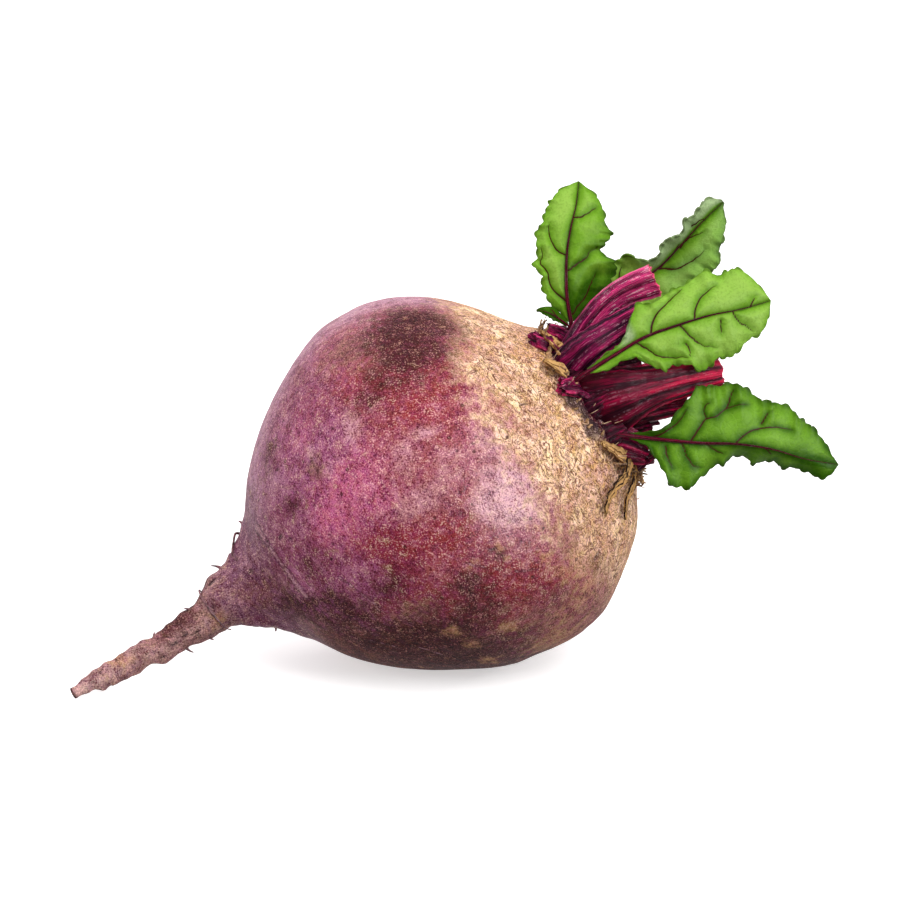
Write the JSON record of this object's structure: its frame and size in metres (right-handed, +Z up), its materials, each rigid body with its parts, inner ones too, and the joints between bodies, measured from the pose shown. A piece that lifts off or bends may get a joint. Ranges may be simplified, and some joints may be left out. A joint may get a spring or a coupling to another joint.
{
  "type": "beetroot",
  "caption": "Whole raw beetroot lying on its side, with its tail root, cut crimson leaf stalks and young green leaves.",
  "frame": {"origin": "on the small flat spot that the root rests on, under the middle of the bulb", "axes": "+Z up; +X from the tail to the leaves; -Y towards the near side"},
  "size_m": [0.1492, 0.0803, 0.0961],
  "materials": {
    "root_skin": "dusty matt skin with a low waxy sheen",
    "stalk": "moist ribbed stalk, satin",
    "dark_stalk": "dark ribbed stalk, satin",
    "leaf": "fresh leaf, waxy satin",
    "dry_skin": "dry papery skin, matt"
  },
  "bodies": {
    "root": {"root": "root_skin", "leaf_upright": "leaf", "leaf_back": "leaf", "leaf_middle": "leaf", "leaf_low": "leaf", "leaf_bud": "leaf", "stalk_long": "stalk", "stalk_dark": "dark_stalk", "stalk_middle": "stalk", "stalk_wide": "stalk", "stalk_under": "dark_stalk", "stalk_short": "stalk", "stalk_far_upper": "dark_stalk", "stalk_far_lower": "stalk", "stalk_far_short": "dark_stalk", "old_stub_top": "dark_stalk", "old_stub_edge": "dark_stalk", "old_stub_side": "stalk", "old_stub_far": "dark_stalk", "dry_flap_top": "dry_skin", "dry_flap_near": "dry_skin", "dry_flap_low": "dry_skin", "dry_flap_under": "dry_skin", "dry_flap_far": "dry_skin", "old_stalk_near": "dry_skin", "old_stalk_low": "dry_skin"}
  },
  "joints": []
}
